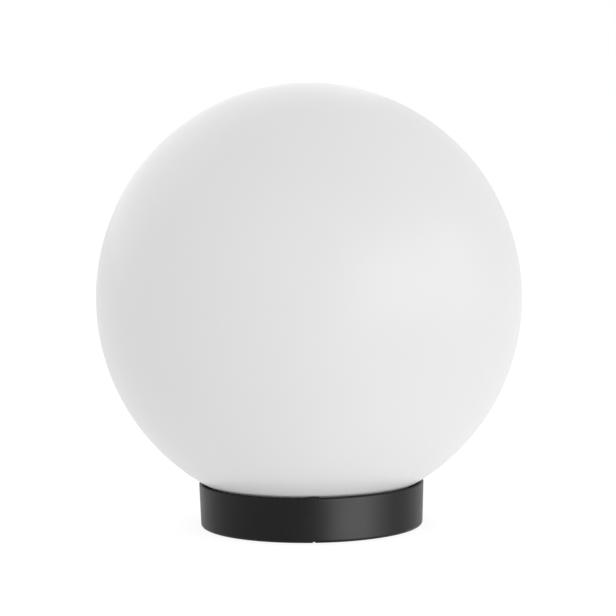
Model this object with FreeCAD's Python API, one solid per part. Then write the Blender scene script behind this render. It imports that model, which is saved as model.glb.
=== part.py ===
import FreeCAD, Part
import math
import os

# Garden globe light: an opal globe that screws a quarter turn into a shallow black base, over a
# screw lampholder and its lamp. Millimetres, +Z up, front at -Y. The origin is the middle of the
# face it stands on. Angles are in degrees, seen from above, from +X towards +Y.

V = FreeCAD.Vector
UP = V(0, 0, 1)
FRONT = -90.0
TURN = 360.0

# Fits shared by every piece.
FIT = 0.1                    # round a piece that is fixed in another
RUN = 0.3                    # between pieces that move past each other
SEAT = 0.2                   # under a piece that rests on another and lifts off it
PAST = 1.0                   # how far a cutting shape runs past a face

# Globe.
GLOBE_RADIUS = 125.0
GLOBE_CROWN = 125.9          # from the globe's middle to its crown: a little taller than wide
GLOBE_WALL = 2.5
NECK_FILLET = 2.5
RIM_GAP = 0.6                # from the rim's inner edge to the globe

# Base dish.
BASE_RADIUS = 66.4           # outside, at the rim
BASE_HEIGHT = 25.8
BASE_WALL = 2.4
BASE_DRAFT = 1.95            # degrees that the wall leans out
RIM_ROUND = 0.5
FOOT_ROUND = 2.0
FOOT_WIDTH = 4.0
FLOOR_LIFT = 4.2             # from the standing face to the floor's underside
FLOOR_THICKNESS = 2.4
TAB_WIDTH = 6.7
TAB_RISE = 0.7
TAB_DEPTH = 4.0
DRAIN_COUNT = 3
DRAIN_RADIUS = 1.2
NOTCH_WIDTH = 1.4            # through the foot, from each drain
NOTCH_HEIGHT = 0.8

# Quarter-turn fitting between neck and dish.
STARTS = 3
LEAD = 12.0                  # rise in one full turn
NECK_GAP = 5.3               # from the neck to the dish's wall, at the floor
LEDGE_SPAN = 76.0
LEDGE_THICKNESS = 2.6
LEDGE_GAP = 1.0              # from the ledge's edge to the neck
LUG_SPAN = 24.0
LUG_THICKNESS = 3.0
LUG_LIFT = 2.3               # from the neck's lip to the lug
LUG_GAP = 1.0                # from the lug's end to the dish's wall
STOP_SPAN = 3.0
STOP_DROP = 3.2              # how far a stop hangs below its ledge
STOP_GAP_SPAN = 0.5          # from stop to lug, when the globe is home

# Seals.
SEAL_WALL = 1.4
SEAL_FLOOR = 2.3
SEAL_LEG_HEIGHT = 5.0
UPSTAND_WALL = 1.6
UPSTAND_HEIGHT = 5.0
FOAM_WIDTH = 6.0
FOAM_CLEAR = 0.3             # from the foam ring to the standing face

# Underside ribs and fixing holes.
RIB_COUNT = 6
RIB_WIDTH = 1.8
RIB_LIFT = 1.2               # from the standing face to the ribs
FIXING_COUNT = 3
FIXING_GAP = 3.9             # from a fixing's collar to the foam ring
FIXING_RADIUS = 2.75
FIXING_WALL = 2.4
FIXING_COLLAR = 3.0          # how far a collar stands above the floor

# Cable grommet, in the middle of the floor.
GROMMET_RADIUS = 9.0
GROMMET_BORE = 4.5
GROMMET_LIP = 2.3
GROMMET_SKIN = 1.3
GROMMET_CONE = 0.8

# Bracket over the grommet, and the screws.
STRIP = 1.2
BRACKET_WIDTH = 18.0
BRACKET_REACH = 30.0         # from the axis to each screw
BRACKET_FOOT = 12.0
BRACKET_LIFT = 13.0          # from the bosses to the top plate
BEND = 1.5
BOSS_RADIUS = 4.6
BOSS_HEIGHT = 3.2
SCREW_RADIUS = 1.6
SCREW_LENGTH = 7.0
SCREW_HEAD_RADIUS = 3.2
SCREW_HEAD = 2.2
BLOCK_SCREW_RADIUS = 1.25
BLOCK_SCREW_LENGTH = 8.0
BLOCK_SCREW_HEAD_RADIUS = 2.5
BLOCK_SCREW_HEAD = 1.7
SLOT_WIDTH = 0.8
SLOT_DEPTH = 1.0

# Lampholder, from the bracket up.
NIPPLE_RADIUS = 5.0
NIPPLE_BORE = 3.9
NIPPLE_ABOVE = 3.6           # length of nipple above the bracket
NUT_SIDES = 6
NUT_FLATS = 14.0
NUT_THICKNESS = 4.0
NUT_OVERHANG = 1.0           # length of nipple below the nut
CAP_HEIGHT = 17.0
CAP_BASE_RADIUS = 9.5
CAP_RADIUS = 20.0
CAP_SHOULDER = 10.0          # height at which the cap reaches its full radius
CAP_SHOULDER_ROUND = 4.0
CAP_WALL = 1.8
INSERT_THICKNESS = 5.0
POST_RADIUS = 6.5
POST_HEIGHT = 2.6
MOUTH_DROP = 1.6             # from the lamp's shoulder down to the shell's mouth
SHELL_TOP_RADIUS = 18.6
SHELL_WALL = 1.7
SLEEVE_WALL = 0.8
CONTACT_WIDTH = 6.0
CONTACT_THICKNESS = 0.6
CONTACT_LENGTH = 10.0
CONTACT_ARCH = 2.6           # height of the centre contact's spring arch
SIDE_CONTACT_FOOT = 5.0

# Lamp with a 27 mm Edison screw cap.
SCREW_CAP_RADIUS = 13.1
SCREW_CAP_HEIGHT = 22.0
SCREW_CAP_WALL = 0.6
SCREW_CAP_CURL = 1.6         # how far the cap's lower edge turns in
TIP_RADIUS = 4.4
TIP_THICKNESS = 1.4
INSULATOR_HEIGHT = 3.6
INSULATOR_DEPTH = 2.0        # how far the insulator reaches into the screw cap
LAMP_RADIUS = 30.0
LAMP_HEIGHT = 108.0          # from tip to dome
LAMP_BODY_HEIGHT = 45.0
LAMP_WALL = 1.6
LAMP_COLLAR_RADIUS = 14.2
LAMP_COLLAR_HEIGHT = 4.0
LAMP_WAIST = 14.0            # rounding where collar and cone meet
LAMP_NECK = 8.0              # how far the body reaches into the screw cap
BOARD_THICKNESS = 1.6
BOARD_SINK = 3.0             # from the seam down to the board's seat
BOARD_LEDGE = 2.0
CHIP_COUNT = 12
CHIP_CIRCLE = 32.0           # pitch circle diameter
CHIP_SIZE = 2.8
CHIP_THICKNESS = 0.8

# Terminal block.
POLE_COUNT = 2
POLE_PITCH = 14.0
POLE_WIDTH = 7.8
POLE_HEIGHT = 9.6
POLE_ROUND = 2.0
BLOCK_DEPTH = 16.0
BLOCK_STRIP_DEPTH = 7.0
BLOCK_STRIP_HEIGHT = 5.0
BLOCK_PLACE = 35.0           # from the axis, towards the front
TOWER_RADIUS = 3.1
TOWER_HEIGHT = 3.4
BARREL_RADIUS = 2.6
BARREL_BORE = 1.7
BARREL_LENGTH = 13.0
BARREL_LIFT = 5.6            # from the floor to the barrels' axes
CLAMP_SCREW_RADIUS = 1.3
CLAMP_SCREW_REACH = 3.8      # from a barrel's middle to each clamping screw
CLAMP_SCREW_SINK = 1.4       # from a tower's top down to its screw

# Leads between block and lampholder.
LEAD_RADIUS = 1.1
CORE_RADIUS = 0.5
CORE_IN_BARREL = 4.6
CORE_IN_INSERT = 3.0
LEAD_INTO_INSERT = 1.0
LEAD_PLACE = 8.0             # from the axis to each lead's hole in the insert
LEAD_PAIR = 1.4              # from the axis to each lead in the nipple
LEAD_STRAIGHT = 7.5          # out of the barrel, before the leads close up
LEAD_CLOSED = 11.0           # from the axis to where the leads run side by side
LEAD_UPTURN = 4.7            # from the axis to where they turn up
LEAD_DROP = 6.0              # from the insert down to where they spread
ARC_SHARE = 0.45             # of the shorter run, taken by an arc's tangent


# Heights and radii that follow from the sizes above.

def wall_radius(z):
    """Inside radius of the dish's wall at a height."""
    return BASE_RADIUS - BASE_WALL - (BASE_HEIGHT - z) * math.tan(math.radians(BASE_DRAFT))


FLOOR_TOP = FLOOR_LIFT + FLOOR_THICKNESS
RIM_INNER = wall_radius(BASE_HEIGHT)
GLOBE_STRETCH = GLOBE_CROWN / GLOBE_RADIUS
GLOBE_CENTRE = BASE_HEIGHT + GLOBE_STRETCH * math.sqrt((GLOBE_RADIUS + RIM_GAP) ** 2 - RIM_INNER ** 2)
NECK_RADIUS = wall_radius(FLOOR_TOP) - NECK_GAP
NECK_BORE = NECK_RADIUS - GLOBE_WALL
SEAL_BOTTOM = FLOOR_TOP + SEAT
NECK_LIP = SEAL_BOTTOM + SEAL_FLOOR + SEAT
LUG_BOTTOM = NECK_LIP + LUG_LIFT
LEDGE_BOTTOM = LUG_BOTTOM + LUG_THICKNESS + RUN
SEAL_OUTER = NECK_RADIUS + SEAT + SEAL_WALL
SEAL_INNER = NECK_BORE - SEAT - SEAL_WALL
UPSTAND_RADIUS = SEAL_INNER - RUN
START_STEP = TURN / STARTS
FOOT_INNER = wall_radius(0) + BASE_WALL - FOOT_WIDTH
FOAM_OUTER = FOOT_INNER - 2 * DRAIN_RADIUS - FIT
FOAM_INNER = FOAM_OUTER - FOAM_WIDTH
FIXING_PLACE = FOAM_INNER - FIXING_GAP - FIXING_WALL - FIXING_RADIUS
HUB_RADIUS = GROMMET_RADIUS + GROMMET_LIP + FIT + RIB_WIDTH
BOSS_TOP = FLOOR_TOP + BOSS_HEIGHT
FOOT_TOP = BOSS_TOP + STRIP
PLATE_BOTTOM = BOSS_TOP + BRACKET_LIFT
PLATE_TOP = PLATE_BOTTOM + STRIP
NIPPLE_TOP = PLATE_TOP + NIPPLE_ABOVE
NUT_BOTTOM = PLATE_BOTTOM - NUT_THICKNESS
CAP_TOP = PLATE_TOP + CAP_HEIGHT
CAP_INNER = CAP_RADIUS - CAP_WALL
INSERT_BOTTOM = CAP_TOP - CAP_WALL
INSERT_TOP = CAP_TOP + INSERT_THICKNESS
POST_TOP = INSERT_TOP + POST_HEIGHT
SLEEVE_BORE = SCREW_CAP_RADIUS + RUN
SLEEVE_RADIUS = SLEEVE_BORE + SLEEVE_WALL
LAMP_TIP = POST_TOP + CONTACT_ARCH + RUN
INSULATOR_BOTTOM = LAMP_TIP + TIP_THICKNESS + FIT
SCREW_CAP_BOTTOM = INSULATOR_BOTTOM + INSULATOR_HEIGHT
SCREW_CAP_TOP = SCREW_CAP_BOTTOM + SCREW_CAP_HEIGHT
SHELL_TOP = SCREW_CAP_TOP - MOUTH_DROP
LAMP_SEAM = SCREW_CAP_TOP + LAMP_BODY_HEIGHT
LAMP_TOP = LAMP_TIP + LAMP_HEIGHT
LAMP_CENTRE = LAMP_TOP - LAMP_RADIUS
BARREL_HEIGHT = FLOOR_TOP + BARREL_LIFT
POLE_TOP = FLOOR_TOP + POLE_HEIGHT
TOWER_TOP = POLE_TOP + TOWER_HEIGHT
STRIP_TOP = FLOOR_TOP + BLOCK_STRIP_HEIGHT


# Tools.

def round_corner(before, corner, after, radius):
    """The tangent arc that rounds a corner, as its first, middle and last points."""
    back = before - corner
    on = after - corner
    half = back.getAngle(on) / 2
    reach = radius / math.tan(half)
    back.normalize()
    on.normalize()
    middle = (back + on).normalize()
    return corner + back * reach, corner + middle * (radius / math.sin(half) - radius), corner + on * reach


def rounded_wire(points, radii, closed=True):
    """A wire of straight lines through points, with the corners rounded."""
    count = len(points)
    edges = []
    pen = start = None
    for i, (corner, radius) in enumerate(zip(points, radii)):
        arc = round_corner(points[i - 1], corner, points[(i + 1) % count], radius) if radius else None
        enter = arc[0] if arc else corner
        if start is None:
            start = enter
        elif pen.distanceToPoint(enter) > 1e-6:
            edges.append(Part.LineSegment(pen, enter).toShape())
        if arc:
            edges.append(Part.Arc(*arc).toShape())
        pen = arc[2] if arc else corner
    if closed and pen.distanceToPoint(start) > 1e-6:
        edges.append(Part.LineSegment(pen, start).toShape())
    return Part.Wire(edges)


def upright(x, z):
    """A point of the upright XZ plane."""
    return V(x, 0, z)


def outline(corners, place=upright):
    """A closed wire through corners (a, b) or (a, b, radius), each put in space by place(a, b)."""
    return rounded_wire([place(*c[:2]) for c in corners], [c[2] if len(c) > 2 else 0 for c in corners])


def revolve(corners, angle=TURN, start=0.0):
    """A solid of revolution about Z from corners (radius, height), over an angle from a start."""
    return at(Part.Face(outline(corners)).revolve(V(0, 0, 0), UP, angle), start)


def ring(inner, outer, bottom, top):
    return revolve([(inner, bottom), (outer, bottom), (outer, top), (inner, top)])


def rod(radius, bottom, top, x=0.0, y=0.0):
    return Part.makeCylinder(radius, top - bottom, V(x, y, bottom))


def block(width, depth, bottom, top, x=0.0, y=0.0):
    return Part.makeBox(width, depth, top - bottom, V(x - width / 2, y - depth / 2, bottom))


def at(shape, angle, radius=0.0):
    """A copy of a shape, moved out along +X by a radius and turned about Z."""
    copy = shape.copy()
    copy.translate(V(radius, 0, 0))
    copy.rotate(V(0, 0, 0), UP, angle)
    return copy


def around(shape, count, start=0.0, radius=0.0):
    return [at(shape, start + TURN * i / count, radius) for i in range(count)]


def fuse(first, *others):
    return first.fuse(list(others)).removeSplitter()


def climbing_pad(inner, outer, bottom, thickness, start, span):
    """A pad between two radii whose flat faces climb with the fitting's lead."""
    helix = Part.makeHelix(LEAD, LEAD * span / TURN, inner)
    helix.translate(V(0, 0, bottom))
    top = bottom + thickness
    section = outline([(inner, bottom), (outer, bottom), (outer, top), (inner, top)])
    return at(Part.Wire(helix).makePipeShell([section], True, True), start)


# Globe and its seals.

def globe():
    """A shell of revolution that is drawn as a sphere on a neck, and stretched a little along Z."""
    fillet_x = NECK_RADIUS + NECK_FILLET
    fillet_z = -math.sqrt((GLOBE_RADIUS + NECK_FILLET) ** 2 - fillet_x ** 2)
    fillet = upright(fillet_x, fillet_z)
    to_fillet = V(fillet).normalize()
    neck_top = GLOBE_CENTRE + GLOBE_STRETCH * fillet_z
    stretch = FreeCAD.Matrix()
    stretch.scale(1, 1, GLOBE_STRETCH)
    stretch.move(UP * GLOBE_CENTRE)

    def skin(sphere, neck):
        """One surface of the wall, from the top down to the neck's lip."""
        low = to_fillet * sphere
        halfway = ((low - fillet).normalize() + V(-1, 0, 0)).normalize()
        arcs = [
            Part.Arc(UP * sphere, V(sphere, 0, 0), low).toShape(),
            Part.Arc(low, fillet + halfway * (fillet_x - neck), upright(neck, fillet_z)).toShape(),
        ]
        line = Part.LineSegment(upright(neck, neck_top), upright(neck, NECK_LIP)).toShape()
        return [arc.transformGeometry(stretch) for arc in arcs] + [line]

    inner = GLOBE_RADIUS - GLOBE_WALL
    edges = skin(GLOBE_RADIUS, NECK_RADIUS) + skin(inner, NECK_BORE)
    edges.append(Part.LineSegment(upright(NECK_RADIUS, NECK_LIP), upright(NECK_BORE, NECK_LIP)).toShape())
    crown = [UP * (GLOBE_CENTRE + GLOBE_STRETCH * sphere) for sphere in (GLOBE_RADIUS, inner)]
    edges.append(Part.LineSegment(*crown).toShape())
    shell = Part.Face(Part.Wire(Part.sortEdges(edges)[0])).revolve(V(0, 0, 0), UP, TURN)
    into_neck = NECK_RADIUS - GLOBE_WALL / 2
    lug_end = wall_radius(FLOOR_TOP) - LUG_GAP
    lugs = [climbing_pad(into_neck, lug_end, LUG_BOTTOM, LUG_THICKNESS,
                         FRONT + i * START_STEP + STOP_GAP_SPAN, LUG_SPAN) for i in range(STARTS)]
    return shell.fuse(lugs)


def neck_seal():
    leg_top = LUG_BOTTOM - RUN
    outer_groove = NECK_RADIUS + SEAT
    inner_groove = NECK_BORE - SEAT
    web = SEAL_BOTTOM + SEAL_FLOOR
    return revolve([
        (SEAL_INNER, SEAL_BOTTOM), (SEAL_OUTER, SEAL_BOTTOM), (SEAL_OUTER, leg_top),
        (outer_groove, leg_top), (outer_groove, web), (inner_groove, web),
        (inner_groove, web + SEAL_LEG_HEIGHT), (SEAL_INNER, web + SEAL_LEG_HEIGHT),
    ])


def mounting_seal():
    return ring(FOAM_INNER, FOAM_OUTER, FOAM_CLEAR, FLOOR_LIFT)


# Base dish.

def dish_shell():
    foot = BASE_RADIUS - BASE_HEIGHT * math.tan(math.radians(BASE_DRAFT))
    return revolve([
        (0, FLOOR_LIFT), (FOOT_INNER, FLOOR_LIFT), (FOOT_INNER, 0), (foot, 0, FOOT_ROUND),
        (BASE_RADIUS, BASE_HEIGHT, RIM_ROUND), (RIM_INNER, BASE_HEIGHT, RIM_ROUND),
        (wall_radius(FLOOR_TOP), FLOOR_TOP, RIM_ROUND), (0, FLOOR_TOP),
    ])


def rim_tab():
    """The tab that stands proud of the rim at the front."""
    span = math.degrees(TAB_WIDTH / BASE_RADIUS)
    low = BASE_HEIGHT - TAB_DEPTH
    high = BASE_HEIGHT + TAB_RISE
    return revolve([
        (wall_radius(low), low), (wall_radius(low) + BASE_WALL, low), (BASE_RADIUS, BASE_HEIGHT),
        (BASE_RADIUS, high, TAB_RISE / 2), (RIM_INNER, high, TAB_RISE / 2), (RIM_INNER, BASE_HEIGHT),
    ], span, FRONT - span / 2)


def ledges():
    """The ramped ledges that the globe's lugs run under, each with a stop at its low end."""
    into_wall = BASE_WALL / 2
    inner = NECK_RADIUS + LEDGE_GAP
    outer = wall_radius(LEDGE_BOTTOM) + into_wall
    stop_inner = SEAL_OUTER + RUN
    low = LEDGE_BOTTOM - STOP_DROP
    high = LEDGE_BOTTOM + LEDGE_THICKNESS
    pads = []
    for i in range(STARTS):
        start = FRONT + i * START_STEP
        pads.append(climbing_pad(inner, outer, LEDGE_BOTTOM, LEDGE_THICKNESS, start, LEDGE_SPAN))
        pads.append(revolve([
            (stop_inner, low), (wall_radius(low) + into_wall, low),
            (wall_radius(high) + into_wall, high), (stop_inner, high),
        ], STOP_SPAN, start - STOP_SPAN))
    return pads


def underside():
    """Ribs and rings under the floor."""
    rib_end = FOAM_INNER - FIT
    rib_start = HUB_RADIUS - RIB_WIDTH / 2
    rib = Part.makeBox(rib_end - RIB_WIDTH / 2 - rib_start, RIB_WIDTH, FLOOR_TOP - RIB_LIFT,
                       V(rib_start, -RIB_WIDTH / 2, RIB_LIFT))
    return around(rib, RIB_COUNT, FRONT) + [
        ring(HUB_RADIUS - RIB_WIDTH, HUB_RADIUS, RIB_LIFT, FLOOR_TOP),
        ring(rib_end - RIB_WIDTH, rib_end, RIB_LIFT, FLOOR_TOP),
    ]


def base_dish():
    bracket_places = (-BRACKET_REACH, BRACKET_REACH)
    fixing = rod(FIXING_RADIUS + FIXING_WALL, 0, FLOOR_TOP + FIXING_COLLAR)
    fixings = around(fixing, FIXING_COUNT, -FRONT, FIXING_PLACE)
    upstand = ring(UPSTAND_RADIUS - UPSTAND_WALL, UPSTAND_RADIUS, FLOOR_LIFT, FLOOR_TOP + UPSTAND_HEIGHT)
    bosses = [rod(BOSS_RADIUS, RIB_LIFT, BOSS_TOP, x) for x in bracket_places]
    pad = rod(BOSS_RADIUS, RIB_LIFT, FLOOR_TOP, 0, -BLOCK_PLACE)
    dish = fuse(dish_shell(), rim_tab(), upstand, pad, *bosses, *fixings, *underside(), *ledges())

    holes = around(rod(FIXING_RADIUS, -PAST, BASE_HEIGHT), FIXING_COUNT, -FRONT, FIXING_PLACE)
    bracket_pilot = FOOT_TOP - SCREW_LENGTH - SEAT
    block_pilot = STRIP_TOP - BLOCK_SCREW_LENGTH - SEAT
    holes += [rod(SCREW_RADIUS + FIT, bracket_pilot, BOSS_TOP + PAST, x) for x in bracket_places]
    holes.append(rod(BLOCK_SCREW_RADIUS + FIT, block_pilot, FLOOR_TOP + PAST, 0, -BLOCK_PLACE))
    holes.append(rod(GROMMET_RADIUS + FIT, -PAST, BASE_HEIGHT))
    drain_place = (SEAL_OUTER + wall_radius(FLOOR_TOP)) / 2
    drain = rod(DRAIN_RADIUS, -PAST, FLOOR_TOP + PAST, drain_place)
    notch = Part.makeBox(BASE_RADIUS - drain_place, NOTCH_WIDTH, PAST + NOTCH_HEIGHT,
                         V(drain_place, -NOTCH_WIDTH / 2, -PAST))
    holes += around(drain.fuse(notch), DRAIN_COUNT, FRONT)
    return dish.cut(holes)


def cable_grommet():
    lip = GROMMET_RADIUS + GROMMET_LIP
    low = FLOOR_LIFT - FIT
    high = FLOOR_TOP + FIT
    lip_bottom = low - GROMMET_SKIN
    lip_top = high + GROMMET_SKIN
    cone = lip_top + GROMMET_CONE
    edge = GROMMET_SKIN / 2
    return revolve([
        (GROMMET_BORE, lip_bottom), (lip, lip_bottom, edge), (lip, low), (GROMMET_RADIUS, low),
        (GROMMET_RADIUS, high), (lip, high), (lip, lip_top, edge), (GROMMET_BORE + 2 * GROMMET_SKIN, lip_top),
        (GROMMET_BORE + GROMMET_SKIN, cone), (GROMMET_BORE, cone),
    ])


# Screws, bracket and lampholder.

def pan_screw(seat, length, radius, head_radius, head, x, y):
    """A screw with a slotted pan head that sits at a seat height."""
    top = seat + head
    tip = seat - length
    screw = revolve([
        (0, tip), (radius / 2, tip), (radius, tip + radius), (radius, seat), (head_radius, seat),
        (head_radius, top, head * 0.6), (0, top),
    ])
    screw = screw.cut(block(2 * head_radius + PAST, SLOT_WIDTH, top - SLOT_DEPTH, top + PAST))
    screw.translate(V(x, y, 0))
    return screw


def bracket_screws():
    return [pan_screw(FOOT_TOP, SCREW_LENGTH, SCREW_RADIUS, SCREW_HEAD_RADIUS, SCREW_HEAD, x, 0)
            for x in (-BRACKET_REACH, BRACKET_REACH)]


def holder_bracket():
    riser = BRACKET_REACH - BRACKET_FOOT / 2
    toe = BRACKET_REACH + BRACKET_FOOT / 2
    right = [
        (riser, PLATE_TOP, BEND + STRIP), (riser, FOOT_TOP, BEND), (toe, FOOT_TOP), (toe, BOSS_TOP),
        (riser - STRIP, BOSS_TOP, BEND + STRIP), (riser - STRIP, PLATE_BOTTOM, BEND),
    ]
    left = [(-corner[0], *corner[1:]) for corner in reversed(right)]
    edge = Part.Face(outline(right + left, lambda x, z: V(x, -BRACKET_WIDTH / 2, z)))
    holes = [rod(SCREW_RADIUS + RUN, BOSS_TOP - PAST, FOOT_TOP + PAST, x)
             for x in (-BRACKET_REACH, BRACKET_REACH)]
    holes.append(rod(NIPPLE_RADIUS + FIT, PLATE_BOTTOM - PAST, PLATE_TOP + PAST))
    return edge.extrude(V(0, BRACKET_WIDTH, 0)).cut(holes)


def holder_nipple():
    return ring(NIPPLE_BORE, NIPPLE_RADIUS, NUT_BOTTOM - NUT_OVERHANG, NIPPLE_TOP)


def nipple_nut():
    corner = V(NUT_FLATS / 2 / math.cos(math.pi / NUT_SIDES), 0, NUT_BOTTOM)
    corners = [FreeCAD.Rotation(UP, TURN * i / NUT_SIDES).multVec(corner) for i in range(NUT_SIDES + 1)]
    hexagon = Part.Face(Part.makePolygon(corners)).extrude(V(0, 0, NUT_THICKNESS))
    return hexagon.cut(rod(NIPPLE_RADIUS + FIT, NUT_BOTTOM - PAST, PLATE_BOTTOM + PAST))


def holder_cap():
    shoulder = PLATE_TOP + CAP_SHOULDER
    bore = NIPPLE_RADIUS + FIT
    return revolve([
        (bore, PLATE_TOP), (CAP_BASE_RADIUS, PLATE_TOP, 1.0), (CAP_RADIUS, shoulder, CAP_SHOULDER_ROUND),
        (CAP_RADIUS, CAP_TOP), (CAP_INNER, CAP_TOP), (CAP_INNER, shoulder + CAP_WALL / 2, CAP_WALL),
        (CAP_BASE_RADIUS, NIPPLE_TOP), (bore, NIPPLE_TOP),
    ])


def holder_insert():
    """The disc that closes the cap: it carries sleeve and contacts, and takes the leads from below."""
    disc = fuse(rod(CAP_INNER - FIT, INSERT_BOTTOM, CAP_TOP), rod(SLEEVE_RADIUS, INSERT_BOTTOM, INSERT_TOP),
                rod(POST_RADIUS, INSERT_BOTTOM, POST_TOP))
    hole_top = INSERT_BOTTOM + LEAD_INTO_INSERT + CORE_IN_INSERT + FIT
    holes = [rod(LEAD_RADIUS + FIT, INSERT_BOTTOM - PAST, hole_top, x) for x in (-LEAD_PLACE, LEAD_PLACE)]
    return disc.cut(holes)


def holder_shell():
    """The outer shell, with a web round the sleeve and a mouth turned in over it."""
    foot = CAP_TOP + FIT
    web_top = INSERT_TOP + SHELL_WALL
    mouth_bottom = SHELL_TOP - SHELL_WALL
    bore = SLEEVE_RADIUS + FIT
    low_inner = CAP_RADIUS - SHELL_WALL
    return revolve([
        (low_inner, foot), (CAP_RADIUS, foot), (SHELL_TOP_RADIUS, SHELL_TOP, SHELL_WALL / 2),
        (bore, SHELL_TOP, SHELL_WALL / 2), (bore, mouth_bottom),
        (SHELL_TOP_RADIUS - SHELL_WALL, mouth_bottom),
        (low_inner, web_top), (bore, web_top), (bore, INSERT_TOP), (low_inner, INSERT_TOP),
    ])


def thread_sleeve():
    return ring(SLEEVE_BORE, SLEEVE_RADIUS, INSERT_TOP, SHELL_TOP - SHELL_WALL)


def across(profile, width):
    """A strip as wide as given, centred on the XZ plane that its profile lies in."""
    strip = Part.Face(profile).extrude(V(0, width, 0))
    strip.translate(V(0, -width / 2, 0))
    return strip


def centre_contact():
    """A brass strip, flat on the post, that springs back over itself to meet the lamp's tip."""
    half = CONTACT_LENGTH / 2
    t = CONTACT_THICKNESS
    top = POST_TOP + CONTACT_ARCH
    tail = top - (CONTACT_ARCH - 2 * t) / 2
    return across(outline([
        (-half, POST_TOP), (half, POST_TOP, t), (half, top, 2 * t), (-half / 2, top, t), (-half, tail),
        (-half, tail - t), (-half / 2, top - t, t), (half - t, top - t, t), (half - t, POST_TOP + t),
        (-half, POST_TOP + t),
    ]), CONTACT_WIDTH)


def side_contact():
    """A brass angle inside the sleeve that ends just under the lamp's screw cap."""
    t = CONTACT_THICKNESS
    outer = math.sqrt((SLEEVE_BORE - FIT) ** 2 - (CONTACT_WIDTH / 2) ** 2)
    top = SCREW_CAP_BOTTOM - RUN
    angle = across(outline([
        (outer - SIDE_CONTACT_FOOT, INSERT_TOP), (outer, INSERT_TOP, 2 * t), (outer, top), (outer - t, top),
        (outer - t, INSERT_TOP + t, t), (outer - SIDE_CONTACT_FOOT, INSERT_TOP + t),
    ]), CONTACT_WIDTH)
    return at(angle, -FRONT)


# Lamp.

def lamp_tip():
    return revolve([(0, LAMP_TIP), (TIP_RADIUS, LAMP_TIP, TIP_THICKNESS / 2),
                    (TIP_RADIUS, LAMP_TIP + TIP_THICKNESS), (0, LAMP_TIP + TIP_THICKNESS)])


def lamp_insulator():
    radius = SCREW_CAP_RADIUS - SCREW_CAP_CURL - FIT
    return revolve([
        (0, INSULATOR_BOTTOM), (TIP_RADIUS + 1, INSULATOR_BOTTOM), (radius, SCREW_CAP_BOTTOM, 1.0),
        (radius, SCREW_CAP_BOTTOM + INSULATOR_DEPTH), (0, SCREW_CAP_BOTTOM + INSULATOR_DEPTH),
    ])


def lamp_screw_shell():
    curl = SCREW_CAP_RADIUS - SCREW_CAP_CURL
    bore = SCREW_CAP_RADIUS - SCREW_CAP_WALL
    web = SCREW_CAP_BOTTOM + SCREW_CAP_WALL
    return revolve([
        (curl, SCREW_CAP_BOTTOM), (SCREW_CAP_RADIUS, SCREW_CAP_BOTTOM, 2 * SCREW_CAP_WALL),
        (SCREW_CAP_RADIUS, SCREW_CAP_TOP), (bore, SCREW_CAP_TOP), (bore, web, SCREW_CAP_WALL), (curl, web),
    ])


def dome_radius(sphere):
    """Radius of a sphere about the lamp's centre, where the seam cuts it."""
    return math.sqrt(sphere ** 2 - (LAMP_CENTRE - LAMP_SEAM) ** 2)


def lamp_body():
    neck = SCREW_CAP_RADIUS - SCREW_CAP_WALL - FIT
    neck_bottom = SCREW_CAP_TOP - LAMP_NECK
    waist = SCREW_CAP_TOP + LAMP_COLLAR_HEIGHT
    seam = dome_radius(LAMP_RADIUS)
    inner = seam - LAMP_WALL
    shelf = LAMP_SEAM - BOARD_SINK
    return revolve([
        (neck - LAMP_WALL, neck_bottom), (neck, neck_bottom), (neck, SCREW_CAP_TOP),
        (LAMP_COLLAR_RADIUS, SCREW_CAP_TOP), (LAMP_COLLAR_RADIUS, waist, LAMP_WAIST), (seam, LAMP_SEAM),
        (inner, LAMP_SEAM), (inner, shelf), (inner - BOARD_LEDGE, shelf),
        (neck - LAMP_WALL, waist, LAMP_WAIST),
    ])


def lamp_dome():
    centre = upright(0, LAMP_CENTRE)

    def skin(sphere):
        return Part.Arc(centre + UP * sphere, centre + V(sphere, 0, 0),
                        upright(dome_radius(sphere), LAMP_SEAM)).toShape()

    inner = LAMP_RADIUS - LAMP_WALL
    edges = [
        skin(LAMP_RADIUS), skin(inner),
        Part.LineSegment(centre + UP * LAMP_RADIUS, centre + UP * inner).toShape(),
        Part.LineSegment(upright(dome_radius(LAMP_RADIUS), LAMP_SEAM),
                         upright(dome_radius(inner), LAMP_SEAM)).toShape(),
    ]
    return Part.Face(Part.Wire(Part.sortEdges(edges)[0])).revolve(V(0, 0, 0), UP, TURN)


def led_board():
    seat = LAMP_SEAM - BOARD_SINK
    top = seat + BOARD_THICKNESS
    board = rod(dome_radius(LAMP_RADIUS) - LAMP_WALL - FIT, seat, top)
    chip = block(CHIP_SIZE, CHIP_SIZE, top, top + CHIP_THICKNESS)
    return fuse(board, *around(chip, CHIP_COUNT, FRONT, CHIP_CIRCLE / 2))


# Terminal block and leads.

POLES = [POLE_PITCH * (i - (POLE_COUNT - 1) / 2) for i in range(POLE_COUNT)]
CLAMPS = [(x, -BLOCK_PLACE + y) for x in POLES for y in (-CLAMP_SCREW_REACH, CLAMP_SCREW_REACH)]


def along_y(radius, length, x, y=-BLOCK_PLACE, z=BARREL_HEIGHT):
    """A cylinder that lies along Y, centred on a barrel's middle unless a place is given."""
    return Part.makeCylinder(radius, length, V(x, y - length / 2, z), V(0, 1, 0))


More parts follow.
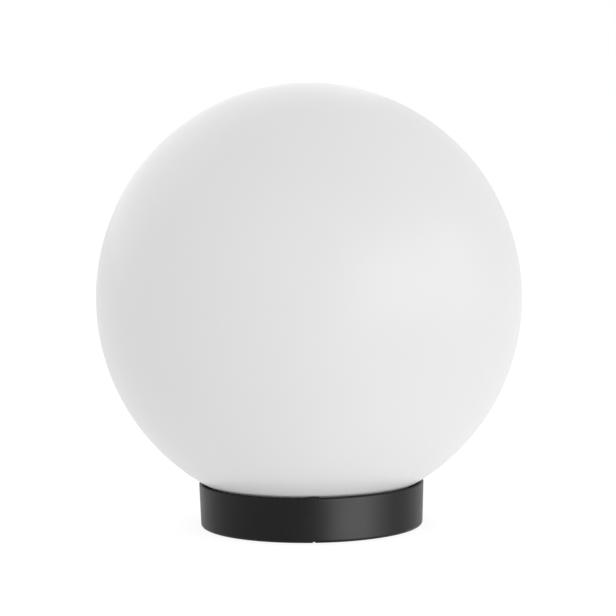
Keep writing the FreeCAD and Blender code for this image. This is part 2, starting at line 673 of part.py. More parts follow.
def terminal_block():
    back = -BLOCK_PLACE - BLOCK_DEPTH / 2
    half = POLE_WIDTH / 2
    poles = []
    for x in POLES:
        end = outline([(x - half, FLOOR_TOP), (x + half, FLOOR_TOP), (x + half, POLE_TOP, POLE_ROUND),
                       (x - half, POLE_TOP, POLE_ROUND)], lambda a, b: V(a, back, b))
        poles.append(Part.Face(end).extrude(V(0, BLOCK_DEPTH, 0)))
    towers = [rod(TOWER_RADIUS, BARREL_HEIGHT, TOWER_TOP, x, y) for x, y in CLAMPS]
    span = POLE_PITCH * (POLE_COUNT - 1)
    strip = block(span, BLOCK_STRIP_DEPTH, FLOOR_TOP, STRIP_TOP, 0, -BLOCK_PLACE)
    body = fuse(strip, *poles, *towers)
    holes = [along_y(BARREL_RADIUS + FIT, BARREL_LENGTH + 2 * FIT, x) for x in POLES]
    holes += [along_y(BARREL_BORE + RUN, BLOCK_DEPTH + PAST, x) for x in POLES]
    holes += [rod(CLAMP_SCREW_RADIUS + RUN, BARREL_HEIGHT, TOWER_TOP + PAST, x, y) for x, y in CLAMPS]
    holes.append(rod(BLOCK_SCREW_RADIUS + RUN, FLOOR_TOP - PAST, STRIP_TOP + PAST, 0, -BLOCK_PLACE))
    return body.cut(holes)


def terminal_barrels():
    holes = [along_y(BARREL_BORE, BARREL_LENGTH + PAST, x) for x in POLES]
    holes += [rod(CLAMP_SCREW_RADIUS + FIT, BARREL_HEIGHT, POLE_TOP, x, y) for x, y in CLAMPS]
    return [along_y(BARREL_RADIUS, BARREL_LENGTH, x).cut(holes) for x in POLES]


def terminal_screws():
    """The grub screws that clamp the wires, down to the lead's core in each barrel."""
    tip = BARREL_HEIGHT + CORE_RADIUS + FIT
    top = TOWER_TOP - CLAMP_SCREW_SINK
    radius = CLAMP_SCREW_RADIUS
    cone = radius / 2
    grub = revolve([(0, tip), (cone, tip), (radius, tip + cone), (radius, top), (0, top)])
    grub = grub.cut(block(2 * radius + PAST, SLOT_WIDTH / 2, top - SLOT_DEPTH, top + PAST))
    return [grub.translated(V(x, y, 0)) for x, y in CLAMPS]


def block_screw():
    return pan_screw(STRIP_TOP, BLOCK_SCREW_LENGTH, BLOCK_SCREW_RADIUS, BLOCK_SCREW_HEAD_RADIUS,
                     BLOCK_SCREW_HEAD, 0, -BLOCK_PLACE)


def lead(side):
    """One lead, from its barrel over the grommet and up through the nipple into the insert."""
    barrel = side * POLE_PITCH / 2
    pair = side * LEAD_PAIR
    place = side * LEAD_PLACE
    start = -BLOCK_PLACE + BARREL_LENGTH / 2
    end = INSERT_BOTTOM + LEAD_INTO_INSERT
    route = [
        V(barrel, start, BARREL_HEIGHT), V(barrel, start + LEAD_STRAIGHT, BARREL_HEIGHT),
        V(pair, -LEAD_CLOSED, BARREL_HEIGHT), V(pair, -LEAD_UPTURN, BARREL_HEIGHT),
        V(pair, 0, BARREL_HEIGHT + LEAD_UPTURN), V(pair, 0, NIPPLE_TOP), V(place, 0, end - LEAD_DROP),
        V(place, 0, end),
    ]
    radii = [0]
    for before, corner, after in zip(route, route[1:], route[2:]):
        turn = (corner - before).getAngle(after - corner)
        shorter = min((corner - before).Length, (after - corner).Length)
        radii.append(ARC_SHARE * shorter / math.tan(turn / 2))
    radii.append(0)
    print("bend radii", [round(r, 1) for r in radii[1:-1]])
    path = rounded_wire(route, radii, closed=False)
    section = Part.Wire(Part.makeCircle(LEAD_RADIUS, route[0], V(0, 1, 0)))
    tube = path.makePipeShell([section], True, False)
    plain = math.pi * LEAD_RADIUS ** 2 * path.Length
    print("volume over section times length", round(tube.Volume / plain, 4))
    cores = [along_y(CORE_RADIUS, CORE_IN_BARREL, barrel, start - CORE_IN_BARREL / 2),
             rod(CORE_RADIUS, end, end + CORE_IN_INSERT, place)]
    return tube.fuse(cores)


# Every node by its name.

NODES = {
    "base_dish": base_dish,
    "globe": globe,
    "neck_seal": neck_seal,
    "mounting_seal": mounting_seal,
    "cable_grommet": cable_grommet,
    "holder_bracket": holder_bracket,
    "bracket_screws": bracket_screws,
    "holder_nipple": holder_nipple,
    "nipple_nut": nipple_nut,
    "holder_cap": holder_cap,
    "holder_insert": holder_insert,
    "holder_shell": holder_shell,
    "thread_sleeve": thread_sleeve,
    "centre_contact": centre_contact,
    "side_contact": side_contact,
    "lamp_tip": lamp_tip,
    "lamp_insulator": lamp_insulator,
    "lamp_screw_shell": lamp_screw_shell,
    "lamp_body": lamp_body,
    "lamp_dome": lamp_dome,
    "led_board": led_board,
    "terminal_block": terminal_block,
    "terminal_barrels": terminal_barrels,
    "terminal_screws": terminal_screws,
    "block_screw": block_screw,
    "live_lead": lambda: lead(-1),
    "neutral_lead": lambda: lead(1),
}

os.makedirs("parts", exist_ok=True)
for name, make in NODES.items():
    shape = make()
    if isinstance(shape, list):
        shape = Part.makeCompound(shape)
    shape.exportStep("parts/" + name + ".step")
    print(name, len(shape.Solids), "solids", round(shape.Volume, 1), "mm3, valid", shape.isValid())
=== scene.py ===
import math

import bmesh
import bpy
from mathutils import Matrix, Vector, noise


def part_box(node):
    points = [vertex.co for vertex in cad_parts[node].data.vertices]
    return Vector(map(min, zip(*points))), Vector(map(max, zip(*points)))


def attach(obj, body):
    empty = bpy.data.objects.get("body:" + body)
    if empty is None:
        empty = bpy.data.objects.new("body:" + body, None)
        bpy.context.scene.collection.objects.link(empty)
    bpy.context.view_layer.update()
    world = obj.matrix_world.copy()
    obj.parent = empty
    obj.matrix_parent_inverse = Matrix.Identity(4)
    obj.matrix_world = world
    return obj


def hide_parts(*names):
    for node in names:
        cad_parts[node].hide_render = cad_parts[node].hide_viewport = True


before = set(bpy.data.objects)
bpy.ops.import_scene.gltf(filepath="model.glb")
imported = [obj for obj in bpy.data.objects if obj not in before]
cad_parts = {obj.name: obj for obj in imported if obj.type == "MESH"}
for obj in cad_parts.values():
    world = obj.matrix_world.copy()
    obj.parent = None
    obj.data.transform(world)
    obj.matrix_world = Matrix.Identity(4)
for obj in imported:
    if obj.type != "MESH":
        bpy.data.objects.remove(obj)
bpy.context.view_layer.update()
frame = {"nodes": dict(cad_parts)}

MM = 0.001
TURN = 2 * math.pi
SHARP_ANGLE = math.radians(40)

# Camera, from the photograph's perspective.
FRAME_PIXELS = 616
SENSOR_MM = 36.0
FOCAL_PIXELS = 2549.0
CAMERA_DISTANCE = 1.5
CAMERA_ELEVATION = math.radians(4.8)
CAMERA_AZIMUTH = math.radians(-1.0)
CAMERA_ROLL = math.radians(0.75)
GLOBE_PIXEL = (308.95, 297.55)

# The globe's middle, which lies this far below its crown.
GLOBE_CROWN = 125.9 * MM
GLOBE_CENTRE = Vector((0, 0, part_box("globe")[1][2] - GLOBE_CROWN))


# Meshes.

def add_mesh(name, build, material, body, *nodes):
    """A mesh piece made by build(bm), which rides on a body and may stand for CAD nodes."""
    bm = bmesh.new()
    build(bm)
    bmesh.ops.recalc_face_normals(bm, faces=bm.faces)
    mesh = bpy.data.meshes.new(name)
    bm.to_mesh(mesh)
    bm.free()
    piece = bpy.data.objects.new(name, mesh)
    bpy.context.scene.collection.objects.link(piece)
    for face in mesh.polygons:
        face.use_smooth = True
    mesh.set_sharp_from_angle(angle=SHARP_ANGLE)
    mesh.materials.append(material)
    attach(piece, body)
    if nodes:
        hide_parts(*nodes)
    return piece


# Finishes. A noise keeps mostly to the middle of its range, so that part is spread over the whole finish.

NOISE_LOW = 0.3
NOISE_HIGH = 0.7


def object_noise(tree, cells, detail=4.0):
    """Noise of so many cells to a metre of the object's own space."""
    place = tree.nodes.new("ShaderNodeTexCoord")
    pattern = tree.nodes.new("ShaderNodeTexNoise")
    pattern.inputs["Scale"].default_value = cells
    pattern.inputs["Detail"].default_value = detail
    pattern.inputs["Roughness"].default_value = 0.55
    tree.links.new(place.outputs["Object"], pattern.inputs["Vector"])
    return pattern.outputs["Fac"]


def spread(tree, value, low, high, start=NOISE_LOW, end=NOISE_HIGH):
    """Maps start..end, which is the middle of a noise's range unless it is given, on to low..high."""
    span = tree.nodes.new("ShaderNodeMapRange")
    span.inputs["From Min"].default_value = start
    span.inputs["From Max"].default_value = end
    span.inputs["To Min"].default_value = low
    span.inputs["To Max"].default_value = high
    tree.links.new(value, span.inputs["Value"])
    return span.outputs["Result"]


def blend_colours(tree, value, low, high):
    """Maps the middle of a noise's range on to the colours from low to high."""
    ramp = tree.nodes.new("ShaderNodeValToRGB")
    first, last = ramp.color_ramp.elements
    first.position = NOISE_LOW
    first.color = (*low, 1)
    last.position = NOISE_HIGH
    last.color = (*high, 1)
    tree.links.new(value, ramp.inputs["Fac"])
    return ramp.outputs["Color"]


def add_bump(tree, shader, height, strength, distance):
    bump = tree.nodes.new("ShaderNodeBump")
    bump.inputs["Strength"].default_value = strength
    bump.inputs["Distance"].default_value = distance
    tree.links.new(height, bump.inputs["Height"])
    tree.links.new(bump.outputs["Normal"], shader.inputs["Normal"])


def finish_of(name, low, high, roughness, metallic=0.0, specular=0.5, cloud=40.0, grain=1500.0,
              grain_strength=0.15, grain_depth=0.02 * MM):
    """A finish whose colour and gloss drift a little over the surface, with a fine grain.

    The colour drifts in clouds and the gloss in patches a third of their size.
    """
    material = bpy.data.materials.new(name)
    material.use_nodes = True
    tree = material.node_tree
    shader = tree.nodes["Principled BSDF"]
    colour = blend_colours(tree, object_noise(tree, cloud), low, high)
    gloss = spread(tree, object_noise(tree, cloud * 3), *roughness)
    tree.links.new(colour, shader.inputs["Base Color"])
    tree.links.new(gloss, shader.inputs["Roughness"])
    shader.inputs["Metallic"].default_value = metallic
    shader.inputs["Specular IOR Level"].default_value = specular
    add_bump(tree, shader, object_noise(tree, grain, detail=2.0), grain_strength, grain_depth)
    return material


def grey(value):
    return (value, value, value)


OPAL = finish_of("opal_satin", grey(0.83), grey(0.85), (0.29, 0.34), cloud=12.0, grain=900.0,
                 grain_strength=0.10)
BLACK = finish_of("black_moulded", grey(0.005), grey(0.008), (0.35, 0.41), specular=0.17, cloud=25.0,
                  grain=2200.0, grain_strength=0.25)
RUBBER = finish_of("black_rubber", grey(0.02), grey(0.035), (0.6, 0.75), specular=0.3)
FOAM = finish_of("cell_foam", grey(0.03), grey(0.07), (0.85, 0.95), specular=0.2, cloud=400.0,
                 grain=1800.0, grain_strength=0.9, grain_depth=0.3 * MM)
ZINC = finish_of("zinc_plate", (0.52, 0.53, 0.55), (0.66, 0.67, 0.68), (0.25, 0.4), metallic=1.0, cloud=90.0)
NICKEL = finish_of("nickel_plate", (0.68, 0.66, 0.62), (0.78, 0.76, 0.72), (0.14, 0.24), metallic=1.0,
                   cloud=120.0)
BRASS = finish_of("plain_brass", (0.62, 0.42, 0.16), (0.76, 0.56, 0.25), (0.2, 0.34), metallic=1.0,
                  cloud=120.0)
WHITE = finish_of("white_moulded", grey(0.74), grey(0.78), (0.25, 0.33), grain_strength=0.08)
LAMP_WHITE = finish_of("lamp_white", grey(0.78), grey(0.82), (0.3, 0.38), grain_strength=0.08)
FROST = finish_of("lamp_frost", grey(0.84), grey(0.88), (0.45, 0.55), cloud=30.0, grain_strength=0.1)
GLASS_BLACK = finish_of("insulator_glass", grey(0.008), grey(0.014), (0.05, 0.12), cloud=60.0,
                        grain_strength=0.03)
BOARD = finish_of("board_mask", grey(0.72), grey(0.8), (0.3, 0.42), cloud=200.0)
BLOCK = finish_of("natural_polyamide", (0.66, 0.66, 0.62), (0.76, 0.76, 0.72), (0.3, 0.42), cloud=80.0)
BROWN = finish_of("brown_silicone", (0.10, 0.035, 0.014), (0.14, 0.05, 0.02), (0.45, 0.6), cloud=300.0)
BLUE = finish_of("blue_silicone", (0.012, 0.06, 0.30), (0.02, 0.085, 0.38), (0.45, 0.6), cloud=300.0)

NODE_FINISH = {
    "globe": OPAL,
    "base_dish": BLACK,
    "neck_seal": RUBBER,
    "cable_grommet": RUBBER,
    "mounting_seal": FOAM,
    "holder_bracket": ZINC,
    "bracket_screws": ZINC,
    "holder_nipple": ZINC,
    "nipple_nut": ZINC,
    "block_screw": ZINC,
    "terminal_screws": ZINC,
    "holder_cap": WHITE,
    "holder_insert": WHITE,
    "holder_shell": WHITE,
    "thread_sleeve": BRASS,
    "centre_contact": BRASS,
    "side_contact": BRASS,
    "lamp_tip": BRASS,
    "terminal_barrels": BRASS,
    "lamp_screw_shell": NICKEL,
    "lamp_insulator": GLASS_BLACK,
    "lamp_body": LAMP_WHITE,
    "lamp_dome": FROST,
    "led_board": BOARD,
    "terminal_block": BLOCK,
    "live_lead": BROWN,
    "neutral_lead": BLUE,
}
for node, material in NODE_FINISH.items():
    mesh = frame["nodes"][node].data
    mesh.materials.clear()
    mesh.materials.append(material)


# Shapes of revolution and threads. Sizes are in metres.

ON_AXIS = 0.01 * MM


def lathe(bm, profile, segments=160, closed=True, shape=None):
    """A surface of revolution about Z from (radius, height) points.

    Where shape(radius, height, turn) is given, it says the radius that a point has at that turn.
    """
    rows = []
    for radius, height in profile:
        if radius < ON_AXIS:
            rows.append([bm.verts.new((0, 0, height))])
            continue
        row = []
        for i in range(segments):
            turn = TURN * i / segments
            reach = shape(radius, height, turn) if shape else radius
            row.append(bm.verts.new((reach * math.cos(turn), reach * math.sin(turn), height)))
        rows.append(row)
    pairs = list(zip(rows, rows[1:]))
    if closed:
        pairs.append((rows[-1], rows[0]))
    for low, high in pairs:
        for i in range(segments):
            j = (i + 1) % segments
            corners = [low[i % len(low)], low[j % len(low)], high[j % len(high)], high[i % len(high)]]
            corners = list(dict.fromkeys(corners))
            if len(corners) > 2:
                bm.faces.new(corners)


def rise(value, start, end):
    """Goes smoothly from 0 at start to 1 at end."""
    share = min(max((value - start) / (end - start), 0), 1)
    return share * share * (3 - 2 * share)


def thread(height, turn, pitch):
    """0 on a right-hand thread's crest and 1 at its root."""
    return (1 - math.cos(TURN * height / pitch - turn)) / 2


def steps(start, end, size):
    """Numbers from start to end, both included, about size apart."""
    count = max(1, round(abs(end - start) / size))
    return [start + (end - start) * i / count for i in range(count + 1)]


def round_edges(corners, parts=6):
    """A closed profile through corners (a, b) or (a, b, radius), which are rounded in so many parts."""
    points = []
    for i, corner in enumerate(corners):
        here = Vector(corner[:2])
        if len(corner) < 3:
            points.append(tuple(here))
            continue
        back = (Vector(corners[i - 1][:2]) - here).normalized()
        on = (Vector(corners[(i + 1) % len(corners)][:2]) - here).normalized()
        half = back.angle(on) / 2
        reach = corner[2] / math.tan(half)
        hub = here + (back + on).normalized() * (corner[2] / math.sin(half))
        first = here + back * reach - hub
        last = here + on * reach - hub
        for k in range(parts + 1):
            arm = first.lerp(last, k / parts).normalized() * corner[2]
            points.append(tuple(hub + arm))
    return points


def fill_in(profile, size):
    """The same closed profile, with points added where they are more than size apart."""
    points = []
    for start, end in zip(profile, profile[1:] + profile[:1]):
        count = max(1, math.ceil(math.dist(start, end) / size))
        for k in range(count):
            points.append(tuple(a + (b - a) * k / count for a, b in zip(start, end)))
    return points


# Edison thread of lamp and sleeve, nested with the gap that the solids have.

EDISON_PITCH = 25.4 / 7 * MM
EDISON_DEPTH = 0.95 * MM
CAP_LOW, CAP_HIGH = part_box("lamp_screw_shell")
SLEEVE_LOW, SLEEVE_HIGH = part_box("thread_sleeve")
THREAD_STEP = 0.2 * MM
PUNCH_MARKS = 8
PUNCH_HEIGHT = 18.6 * MM
PUNCH_RADIUS = 0.7 * MM
PUNCH_DEPTH = 0.35 * MM


def screw_cap(bm):
    crest = CAP_HIGH[0]
    wall = 0.6 * MM
    tall = CAP_HIGH[2] - CAP_LOW[2]
    run_in_from, run_in_to = 1.2 * MM, 2.6 * MM
    run_out_from, run_out_to = 12.4 * MM, 13.8 * MM

    def shape(radius, height, turn):
        up = height - CAP_LOW[2]
        start = rise(up, run_in_from, run_in_to)
        run_out = 1 - rise(up, run_out_from, run_out_to)
        cut = EDISON_DEPTH * (1 - start + start * run_out * thread(height, turn, EDISON_PITCH))
        if radius > crest - wall / 2:
            # The punch marks that hold the cap on the lamp's body.
            around = (turn * PUNCH_MARKS / TURN) % 1 - 0.5
            across = math.hypot(around * TURN / PUNCH_MARKS * crest, up - PUNCH_HEIGHT)
            cut += PUNCH_DEPTH * math.exp(-(across / PUNCH_RADIUS) ** 2)
        return radius - cut

    inside = crest - wall
    outer = [(inside + 0.3 * MM, 0.04 * MM), (crest - 0.12 * MM, 0.2 * MM)]
    outer += [(crest, up) for up in steps(0.5 * MM, tall, THREAD_STEP)]
    inner = [(inside, up) for up in steps(tall, 0, THREAD_STEP)]
    lathe(bm, [(radius, CAP_LOW[2] + up) for radius, up in outer + inner], segments=240, shape=shape)


def sleeve(bm):
    wall = 0.7 * MM
    bore = CAP_HIGH[0] + 0.3 * MM
    run_in_from, run_in_to = 0.6 * MM, 1.6 * MM
    run_out_from, run_out_to = 10.8 * MM, 12.2 * MM

    def shape(radius, height, turn):
        up = height - CAP_LOW[2]
        reach = rise(up, run_in_from, run_in_to) * (1 - rise(up, run_out_from, run_out_to))
        return radius - EDISON_DEPTH * reach * thread(height, turn, EDISON_PITCH)

    heights = steps(SLEEVE_LOW[2], SLEEVE_HIGH[2], 0.25 * MM)
    inner = [(bore, height) for height in heights]
    outer = [(bore + wall, height) for height in reversed(heights)]
    lathe(bm, inner + outer, segments=240, shape=shape)


def nipple(bm):
    low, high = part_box("holder_nipple")
    crest = high[0]
    bore = 3.9 * MM
    chamfer = 0.5 * MM
    pitch = 1.0 * MM

    def shape(radius, height, turn):
        if radius < bore + chamfer:
            return radius
        ends = rise(height, low[2], low[2] + chamfer) * (1 - rise(height, high[2] - chamfer, high[2]))
        return radius - chamfer * (1 - ends + ends * thread(height, turn, pitch))

    outer = [(crest, height) for height in steps(low[2], high[2], 0.1 * MM)]
    lathe(bm, [(bore, low[2]), *outer, (bore, high[2])], segments=72, shape=shape)


def fluted_shell(bm):
    """The lampholder's outer shell, with grip flutes round its waist."""
    low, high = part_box("holder_shell")
    foot = high[0]
    top = 18.6 * MM
    wall = 1.7 * MM
    bore = SLEEVE_HIGH[0] + 0.1 * MM
    web = SLEEVE_LOW[2]
    mouth = high[2] - wall
    edge = wall / 2
    flutes = 30
    flute_depth = 0.55 * MM
    plain_end = 5 * MM
    full_end = 8 * MM

    def shape(radius, height, turn):
        plain = foot + (top - foot) * (height - low[2]) / (high[2] - low[2])
        if radius < plain - 0.1 * MM:
            return radius
        reach = rise(height, low[2] + plain_end, low[2] + full_end)
        reach *= 1 - rise(height, mouth - full_end, mouth - plain_end)
        return radius - flute_depth * reach * (0.5 + 0.5 * math.cos(flutes * turn)) ** 1.5

    profile = round_edges([
        (foot - wall, low[2]), (foot, low[2]), (top, high[2], edge), (bore, high[2], edge), (bore, mouth),
        (top - wall, mouth), (foot - wall, web + wall), (bore, web + wall), (bore, web), (foot - wall, web),
    ])
    lathe(bm, fill_in(profile, 1.0 * MM), segments=360, shape=shape)


# Soft rings: foam under the base, rubber under the neck.

def foam_ring(bm):
    """Closed-cell foam, whose surface is uneven where the cells are cut."""
    low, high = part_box("mounting_seal")
    inner = high[0] - 6.0 * MM
    edge = 0.5 * MM
    profile = round_edges([
        (inner, low[2], edge), (high[0], low[2], edge), (high[0], high[2], edge), (inner, high[2], edge),
    ])
    lathe(bm, fill_in(profile, 0.7 * MM), segments=420)
    middle = Vector(((inner + high[0]) / 2, (low[2] + high[2]) / 2))
    cells = 900
    waves = 220
    for vert in bm.verts:
        around = math.atan2(vert.co.y, vert.co.x)
        section = Vector((math.hypot(vert.co.x, vert.co.y), vert.co.z)) - middle
        section *= 1 - 0.05 * (1 + noise.noise(vert.co * cells)) - 0.03 * (1 + noise.noise(vert.co * waves))
        reach = middle.x + section.x
        vert.co = (reach * math.cos(around), reach * math.sin(around), middle.y + section.y)


def rubber_ring(bm):
    """The U section that the neck's lip stands in, with rounded lips."""
    low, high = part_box("neck_seal")
    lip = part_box("globe")[0][2] - 0.2 * MM
    outside = high[0]
    leg = lip + 2.2 * MM
    groove = outside - 1.4 * MM
    inside = groove - 2.9 * MM
    bore = inside - 1.4 * MM
    edge = 0.6 * MM
    root = 0.3 * MM
    profile = round_edges([
        (bore, low[2], edge), (outside, low[2], edge), (outside, leg, edge), (groove, leg, edge),
        (groove, lip, root), (inside, lip, root), (inside, high[2], edge), (bore, high[2], edge),
    ], parts=4)
    lathe(bm, profile, segments=360)


# The lamp's board: a disc with a solder pad each side of every chip.

BOARD_LOW, BOARD_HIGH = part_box("led_board")
BOARD_TOP = BOARD_LOW[2] + 1.6 * MM
CHIPS = 12
CHIP_TURNS = [TURN * i / CHIPS - TURN / 4 for i in range(CHIPS)]
CHIP_CIRCLE = 16.0 * MM
CHIP = 2.8 * MM
CHIP_TOP = BOARD_TOP + 0.72 * MM
WINDOW = 2.3 * MM
WINDOW_SINK = 0.02 * MM
WINDOW_TOP = BOARD_TOP + 0.8 * MM
PAD_PLACE = 1.75 * MM
PAD_LENGTH = 2.2 * MM
PAD_WIDTH = 0.9 * MM
PAD_TOP = BOARD_TOP + 0.12 * MM


def board_disc(bm):
    edge = 0.15 * MM
    rim = BOARD_HIGH[0]
    bottom = BOARD_LOW[2]
    corners = [(0, bottom), (rim, bottom, edge), (rim, BOARD_TOP, edge), (0, BOARD_TOP)]
    lathe(bm, round_edges(corners, parts=3), segments=180, closed=False)


def slab(bm, turn, side, length, width, bottom, top):
    """A flat block with round corners and an eased top edge, on the chips' circle and facing outwards."""
    edge = 0.08 * MM
    roundness = 0.16
    radius = min(length, width) * roundness
    rings = []
    for height, shrink in ((bottom, 0), (top - edge, 0), (top - edge * 0.3, edge * 0.4), (top, edge)):
        ring = []
        for corner in range(4):
            ahead = 1 if corner in (0, 3) else -1
            left = 1 if corner in (0, 1) else -1
            for k in range(4):
                bend = TURN * (corner + k / 3) / 4
                x = (length / 2 - radius) * ahead + (radius - shrink) * math.cos(bend) + CHIP_CIRCLE
                y = (width / 2 - radius) * left + (radius - shrink) * math.sin(bend) + side
                across = x * math.cos(turn) - y * math.sin(turn)
                along = x * math.sin(turn) + y * math.cos(turn)
                ring.append(bm.verts.new((across, along, height)))
        rings.append(ring)
    for low, high in zip(rings, rings[1:]):
        for i in range(len(low)):
            j = (i + 1) % len(low)
            bm.faces.new((low[i], low[j], high[j], high[i]))
    bm.faces.new(rings[-1])
    bm.faces.new(list(reversed(rings[0])))


def chip_bodies(bm):
    for turn in CHIP_TURNS:
        slab(bm, turn, 0, CHIP, CHIP, BOARD_TOP, CHIP_TOP)


def chip_windows(bm):
    for turn in CHIP_TURNS:
        slab(bm, turn, 0, WINDOW, WINDOW, CHIP_TOP - WINDOW_SINK, WINDOW_TOP)


def solder_pads(bm):
    for turn in CHIP_TURNS:
        for side in (-PAD_PLACE, PAD_PLACE):
            slab(bm, turn, side, PAD_LENGTH, PAD_WIDTH, BOARD_TOP, PAD_TOP)


PHOSPHOR = finish_of("chip_phosphor", (0.78, 0.52, 0.06), (0.86, 0.62, 0.10), (0.35, 0.5), cloud=900.0)
SOLDER = finish_of("solder", grey(0.62), grey(0.74), (0.2, 0.35), metallic=1.0, cloud=600.0)

add_mesh("screw_cap", screw_cap, NICKEL, "lamp", "lamp_screw_shell")
add_mesh("holder_sleeve", sleeve, BRASS, "base", "thread_sleeve")
add_mesh("threaded_nipple", nipple, ZINC, "base", "holder_nipple")
add_mesh("fluted_shell", fluted_shell, WHITE, "base", "holder_shell")
add_mesh("foam_ring", foam_ring, FOAM, "base", "mounting_seal")
add_mesh("rubber_ring", rubber_ring, RUBBER, "globe_carrier", "neck_seal")
add_mesh("board_disc", board_disc, BOARD, "lamp", "led_board")
add_mesh("chip_bodies", chip_bodies, LAMP_WHITE, "lamp")
add_mesh("chip_windows", chip_windows, PHOSPHOR, "lamp")
add_mesh("solder_pads", solder_pads, SOLDER, "lamp")


# Stage, lights and camera. A strength of 1 is white.

SEEN_WORLD = 1.0
WORLD_LIGHT = 0.80
FLOOR_HALF = 4.0
SEEN_FLOOR_GLOW = 0.85
SEEN_FLOOR_WHITE = 0.25
LIT_FLOOR_WHITE = 0.3
LIT_FLOOR_GLOW = (0.53, 0.69)
# The floor's glow as a light changes from one strength to the other between this far left and right.
GLOW_CHANGE = 0.15


def add_node(tree, kind, **inputs):
    """A new node with some of its inputs set, Color as a grey."""
    node = tree.nodes.new(kind)
    for socket, value in inputs.items():
        node.inputs[socket].default_value = (*grey(value), 1) if socket == "Color" else value
    return node


def add_up(tree, first, second):
    """Both of two shader nodes together."""
    both = tree.nodes.new("ShaderNodeAddShader")
    tree.links.new(first.outputs[0], both.inputs[0])
    tree.links.new(second.outputs[0], both.inputs[1])
    return both


def seen_or_lit(tree, seen, lit):
    """One shader for what camera, gloss and glass see, and another for what lights the object."""
    path = tree.nodes.new("ShaderNodeLightPath")
    either = path.outputs["Is Camera Ray"]
    for ray in ("Is Glossy Ray", "Is Transmission Ray"):
        most = tree.nodes.new("ShaderNodeMath")
        most.operation = "MAXIMUM"
        tree.links.new(either, most.inputs[0])
        tree.links.new(path.outputs[ray], most.inputs[1])
        either = most.outputs[0]
    mix = tree.nodes.new("ShaderNodeMixShader")
    tree.links.new(either, mix.inputs["Fac"])
    tree.links.new(lit.outputs[0], mix.inputs[1])
    tree.links.new(seen.outputs[0], mix.inputs[2])
    return mix.outputs[0]


def surround():
    """A white surround, a little dimmer as a light than it is seen."""
    world = bpy.data.worlds.new("studio")
    world.use_nodes = True
    tree = world.node_tree
    tree.nodes.clear()
    seen = add_node(tree, "ShaderNodeBackground", Color=1.0, Strength=SEEN_WORLD)
    lit = add_node(tree, "ShaderNodeBackground", Color=1.0, Strength=WORLD_LIGHT)
    output = tree.nodes.new("ShaderNodeOutputWorld")
    tree.links.new(seen_or_lit(tree, seen, lit), output.inputs["Surface"])
    bpy.context.scene.world = world


def floor_white():
    """White that is mostly the floor's own, so that shadows on it stay faint.

    As a light, it gives a little more back on the key lamp's side.
    """
    material = bpy.data.materials.new("floor_white")
    material.use_nodes = True
    tree = material.node_tree
    tree.nodes.clear()
    seen = add_up(tree, add_node(tree, "ShaderNodeEmission", Strength=SEEN_FLOOR_GLOW),
                  add_node(tree, "ShaderNodeBsdfDiffuse", Color=SEEN_FLOOR_WHITE))
    place = tree.nodes.new("ShaderNodeTexCoord")
    across = tree.nodes.new("ShaderNodeSeparateXYZ")
    tree.links.new(place.outputs["Object"], across.inputs[0])
    strength = spread(tree, across.outputs["X"], *LIT_FLOOR_GLOW, start=-GLOW_CHANGE, end=GLOW_CHANGE)
    glow = tree.nodes.new("ShaderNodeEmission")
    tree.links.new(strength, glow.inputs["Strength"])
    lit = add_up(tree, add_node(tree, "ShaderNodeBsdfDiffuse", Color=LIT_FLOOR_WHITE), glow)
    output = tree.nodes.new("ShaderNodeOutputMaterial")
    tree.links.new(seen_or_lit(tree, seen, lit), output.inputs["Surface"])
    return material


def floor():
    mesh = bpy.data.meshes.new("floor")
    corners = [(x * FLOOR_HALF, y * FLOOR_HALF, 0) for x, y in ((-1, -1), (1, -1), (1, 1), (-1, 1))]
    mesh.from_pydata(corners, [], [(0, 1, 2, 3)])
    mesh.materials.append(floor_white())
    stage = bpy.data.objects.new("floor", mesh)
    bpy.context.scene.collection.objects.link(stage)


surround()
floor()


LAMP_DISTANCE = 1.3


def area_light(name, azimuth, elevation, width, height, power):
    """A soft lamp that faces the globe. Azimuth 0 is in front of the object, 90 on its right."""
    lamp = bpy.data.lights.new(name, "AREA")
    lamp.shape = "RECTANGLE"
    lamp.size = width
    lamp.size_y = height
    lamp.energy = power
    holder = bpy.data.objects.new(name, lamp)
    bpy.context.scene.collection.objects.link(holder)
    turn = math.radians(azimuth)
    lift = math.radians(elevation)
    away = Vector((math.sin(turn) * math.cos(lift), -math.cos(turn) * math.cos(lift), math.sin(lift)))
    holder.location = GLOBE_CENTRE + away * LAMP_DISTANCE
    holder.rotation_euler = away.to_track_quat("Z", "Y").to_euler()
    return holder


def group_of(name, nodes):
    group = bpy.data.collections.new(name)
    for node in nodes:
        group.objects.link(frame["nodes"][node])
    return group


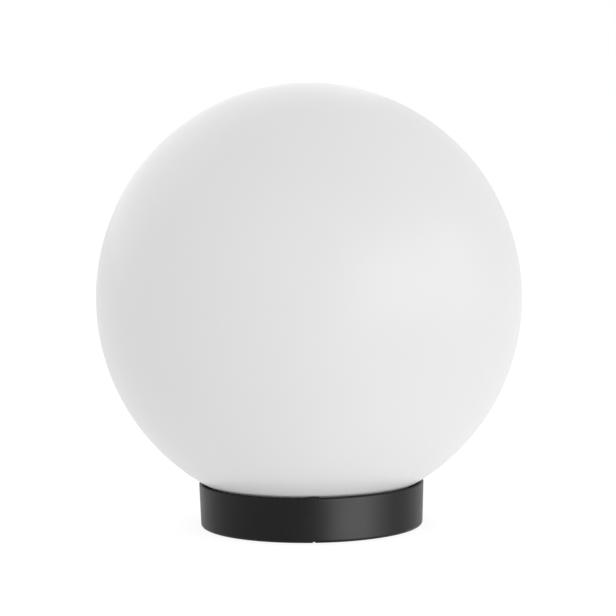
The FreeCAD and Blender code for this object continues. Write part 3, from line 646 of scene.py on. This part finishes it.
def gloss_only(lamp, node, through_floor=False):
    """Keeps a lamp to the gloss of one node: a highlight where the photograph has one, and no more light.

    Through the floor, only the object's own solids block it.
    """
    lamp.visible_diffuse = False
    lamp.light_linking.receiver_collection = group_of(lamp.name + "_on", [node])
    if through_floor:
        lamp.light_linking.blocker_collection = group_of(lamp.name + "_blockers", frame["nodes"])
        lamp.data.cycles.use_multiple_importance_sampling = False


key = area_light("key", azimuth=42, elevation=2, width=0.9, height=0.9, power=2.7)
key.visible_glossy = False
globe_front = area_light("globe_front", azimuth=60, elevation=9, width=2.1, height=1.0, power=3.8)
gloss_only(globe_front, "globe")
globe_back = area_light("globe_back", azimuth=-150, elevation=30, width=2.0, height=1.2, power=2.4)
gloss_only(globe_back, "globe")
# The collar mirrors what lies under the horizon.
collar_front = area_light("collar_front", azimuth=40, elevation=-12, width=1.05, height=0.9, power=22.5)
gloss_only(collar_front, "base_dish", through_floor=True)
collar_side = area_light("collar_side", azimuth=72, elevation=-12, width=0.4, height=0.9, power=2.8)
gloss_only(collar_side, "base_dish", through_floor=True)


def camera():
    data = bpy.data.cameras.new("camera")
    data.sensor_width = SENSOR_MM
    data.lens = FOCAL_PIXELS / FRAME_PIXELS * SENSOR_MM
    holder = bpy.data.objects.new("camera", data)
    bpy.context.scene.collection.objects.link(holder)
    away = Vector((
        math.sin(CAMERA_AZIMUTH) * math.cos(CAMERA_ELEVATION),
        -math.cos(CAMERA_AZIMUTH) * math.cos(CAMERA_ELEVATION),
        math.sin(CAMERA_ELEVATION),
    ))
    look = away.to_track_quat("Z", "Y").to_matrix()
    look = look @ Matrix.Rotation(-CAMERA_ROLL, 3, "Z")
    # Where the globe's centre lies from the frame's middle, right and up, as angles.
    right = (GLOBE_PIXEL[0] - FRAME_PIXELS / 2) / FOCAL_PIXELS
    up = (FRAME_PIXELS / 2 - GLOBE_PIXEL[1]) / FOCAL_PIXELS
    place = GLOBE_CENTRE + away * CAMERA_DISTANCE
    aim = Matrix.Rotation(math.atan(right), 3, "Y") @ Matrix.Rotation(-math.atan(up), 3, "X")
    holder.matrix_world = Matrix.Translation(place) @ (look @ aim).to_4x4()
    bpy.context.scene.camera = holder


camera()

bpy.context.scene.view_settings.view_transform = "Standard"
